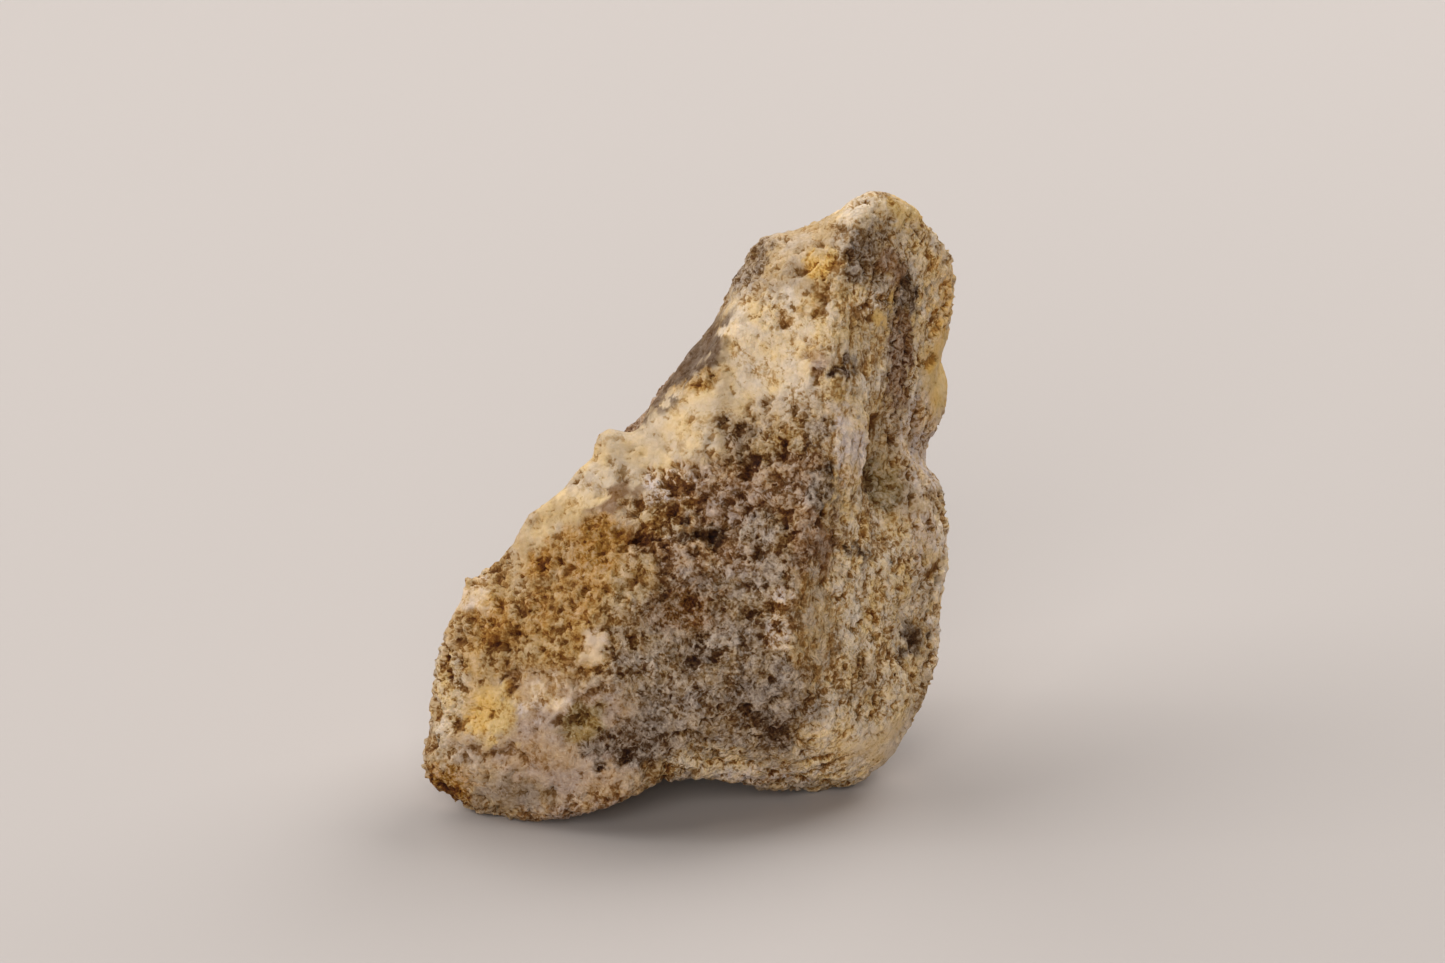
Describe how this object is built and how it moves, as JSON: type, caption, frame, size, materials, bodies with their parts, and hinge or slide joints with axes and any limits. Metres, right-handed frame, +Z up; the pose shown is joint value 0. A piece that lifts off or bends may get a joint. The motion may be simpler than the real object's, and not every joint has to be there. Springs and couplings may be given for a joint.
{
  "type": "calcite stone",
  "caption": "Rough lump of granular orchid calcite, a leaning wedge with a peak, a ridged broad side and a long broken slope, standing on small flats.",
  "frame": {"origin": "centre of the stone's bounding box in plan, at the surface that it stands on", "axes": "+Z up, +X to the right of the broad side, +Y away from the broad side"},
  "size_m": [0.0488, 0.0376, 0.0549],
  "materials": {
    "calcite": "rough broken granular calcite, cream to honey and smoky brown, slightly translucent at the thin edges"
  },
  "bodies": {
    "root": {"calcite_stone": "calcite"}
  },
  "joints": []
}
